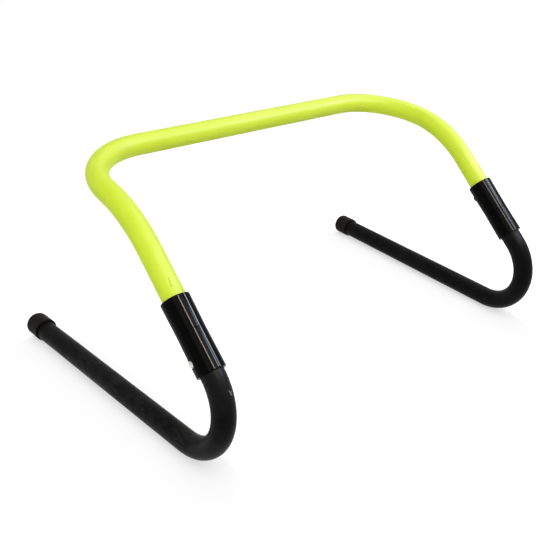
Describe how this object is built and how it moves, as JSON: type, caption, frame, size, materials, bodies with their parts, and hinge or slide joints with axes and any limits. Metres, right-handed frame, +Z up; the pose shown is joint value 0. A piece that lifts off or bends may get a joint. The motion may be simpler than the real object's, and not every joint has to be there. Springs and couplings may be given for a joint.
{
  "type": "speed hurdle",
  "caption": "Low training hurdle: a bent yellow bar tube on black J-shaped feet, joined by black sleeves with snap buttons that press in to take it apart.",
  "frame": {"origin": "on the floor, at the centre of the hurdle's bounding box", "axes": "+X along the crossbar to the right, +Y from the front bends back to the foot tips, +Z up"},
  "size_m": [0.6194, 0.4164, 0.2856],
  "materials": {
    "yellow_tube": "satin neon yellow",
    "gloss_black": "gloss black, moulded",
    "satin_black": "satin black with fine scuffs",
    "cap_rubber": "matt black soft vinyl",
    "button_steel": "bright plated steel",
    "clip_steel": "bare spring steel"
  },
  "bodies": {
    "crossbar": {"crossbar_tube": "yellow_tube", "left_upper_spring_clip": "clip_steel", "right_upper_spring_clip": "clip_steel"},
    "left_sleeve": {"left_sleeve": "gloss_black"},
    "left_foot": {"left_foot_tube": "satin_black", "left_end_cap": "cap_rubber", "left_lower_spring_clip": "clip_steel"},
    "left_upper_button": {"left_upper_snap_button": "button_steel"},
    "left_lower_button": {"left_lower_snap_button": "button_steel"},
    "right_sleeve": {"right_sleeve": "gloss_black"},
    "right_foot": {"right_foot_tube": "satin_black", "right_end_cap": "cap_rubber", "right_lower_spring_clip": "clip_steel"},
    "right_upper_button": {"right_upper_snap_button": "button_steel"},
    "right_lower_button": {"right_lower_snap_button": "button_steel"}
  },
  "joints": [
    {"name": "left_sleeve_pull_off", "type": "slide", "parent": "crossbar", "child": "left_sleeve", "axis": [0, -0.7392, -0.6735], "range_m": [0, 0.039], "deforming": ["left_upper_snap_button", "left_upper_spring_clip"]},
    {"name": "left_foot_pull_out", "type": "slide", "parent": "left_sleeve", "child": "left_foot", "axis": [0, -0.7392, -0.6735], "range_m": [0, 0.052], "deforming": ["left_lower_snap_button", "left_lower_spring_clip"]},
    {"name": "left_upper_button_press", "type": "slide", "parent": "crossbar", "child": "left_upper_button", "axis": [-0.6428, -0.516, 0.5662], "range_m": [0, 0.0045], "stiffness_N_per_m": 2000, "springref_m": -0.001, "deforming": ["left_upper_spring_clip"]},
    {"name": "left_lower_button_press", "type": "slide", "parent": "left_foot", "child": "left_lower_button", "axis": [0.9848, -0.117, 0.1284], "range_m": [0, 0.0045], "stiffness_N_per_m": 2000, "springref_m": -0.001, "deforming": ["left_lower_spring_clip"]},
    {"name": "right_sleeve_pull_off", "type": "slide", "parent": "crossbar", "child": "right_sleeve", "axis": [0, -0.7392, -0.6735], "range_m": [0, 0.052], "deforming": ["right_upper_snap_button", "right_upper_spring_clip"]},
    {"name": "right_foot_pull_out", "type": "slide", "parent": "right_sleeve", "child": "right_foot", "axis": [0, -0.7392, -0.6735], "range_m": [0, 0.039], "deforming": ["right_lower_snap_button", "right_lower_spring_clip"]},
    {"name": "right_upper_button_press", "type": "slide", "parent": "crossbar", "child": "right_upper_button", "axis": [0.6428, -0.516, 0.5662], "range_m": [0, 0.0045], "stiffness_N_per_m": 2000, "springref_m": -0.001, "deforming": ["right_upper_spring_clip"]},
    {"name": "right_lower_button_press", "type": "slide", "parent": "right_foot", "child": "right_lower_button", "axis": [-0.9848, -0.117, 0.1284], "range_m": [0, 0.0045], "stiffness_N_per_m": 2000, "springref_m": -0.001, "deforming": ["right_lower_spring_clip"]}
  ]
}
